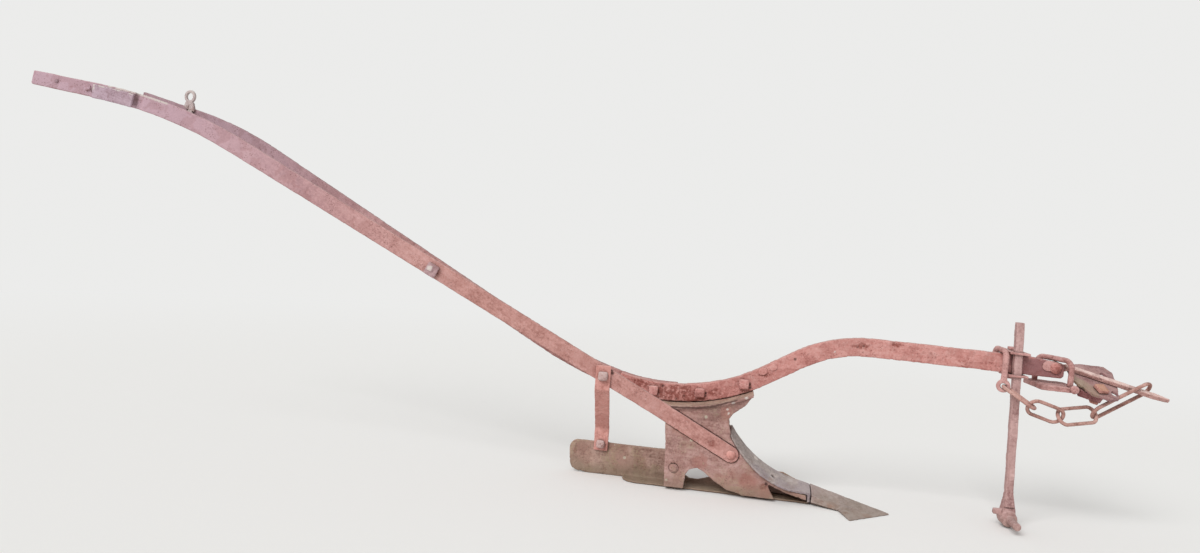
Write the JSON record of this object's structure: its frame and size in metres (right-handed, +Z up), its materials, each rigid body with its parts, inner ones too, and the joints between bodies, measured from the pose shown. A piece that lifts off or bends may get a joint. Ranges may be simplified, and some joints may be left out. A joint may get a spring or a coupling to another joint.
{
  "type": "horse drawn walking plough of iron, without its mouldboard, land wheel and grips",
  "caption": "Old iron walking plough: bent beam with clamped wheel post, hake and draught chain, cast frame with share and slade, and splayed stilts; mouldboard, wheel and grips are missing.",
  "frame": {"origin": "on the underside of the slade's sole, under the front bolt of the right stilt's seat, in the middle plane of the beam", "axes": "+X forward along the furrow, +Z up, +Y to the left (land) side"},
  "size_m": [2.6957, 0.4628, 0.8999],
  "materials": {
    "beam": "rusted matt",
    "stilt": "rusted matt",
    "eye": "rusted matt",
    "gear": "rusted matt",
    "hake": "rusted matt",
    "chain": "rusted matt",
    "casting": "rusted matt",
    "share_iron": "rusted matt"
  },
  "bodies": {
    "plough": {"beam": "beam", "left_stilt": "stilt", "right_stilt": "stilt", "left_splice": "stilt", "right_splice": "stilt", "rein_eye": "eye", "cross_stay": "stilt", "upright_stay": "stilt", "stay_bolts": "stilt", "frame": "casting", "beam_bolts": "beam", "stilt_bolt": "stilt", "breast_strip": "share_iron", "share": "share_iron", "slade": "casting", "slade_bolts": "casting", "beam_shackle": "gear", "clamp_top": "gear", "clamp_bottom": "gear", "clamp_bolt": "gear", "end_bow": "gear", "bow_plate": "gear", "beam_pin": "beam", "hake": "hake", "hake_lower": "gear", "hake_bolt": "gear", "draught_rod": "gear", "chain_link_1": "chain", "chain_link_2": "chain", "chain_link_3": "chain", "chain_link_4": "chain"},
    "post": {"wheel_post": "gear"}
  },
  "joints": [
    {"name": "post_slide", "type": "slide", "parent": "plough", "child": "post", "axis": [-0.0262, 0, 0.9997], "range_m": [0, 0.2]}
  ]
}
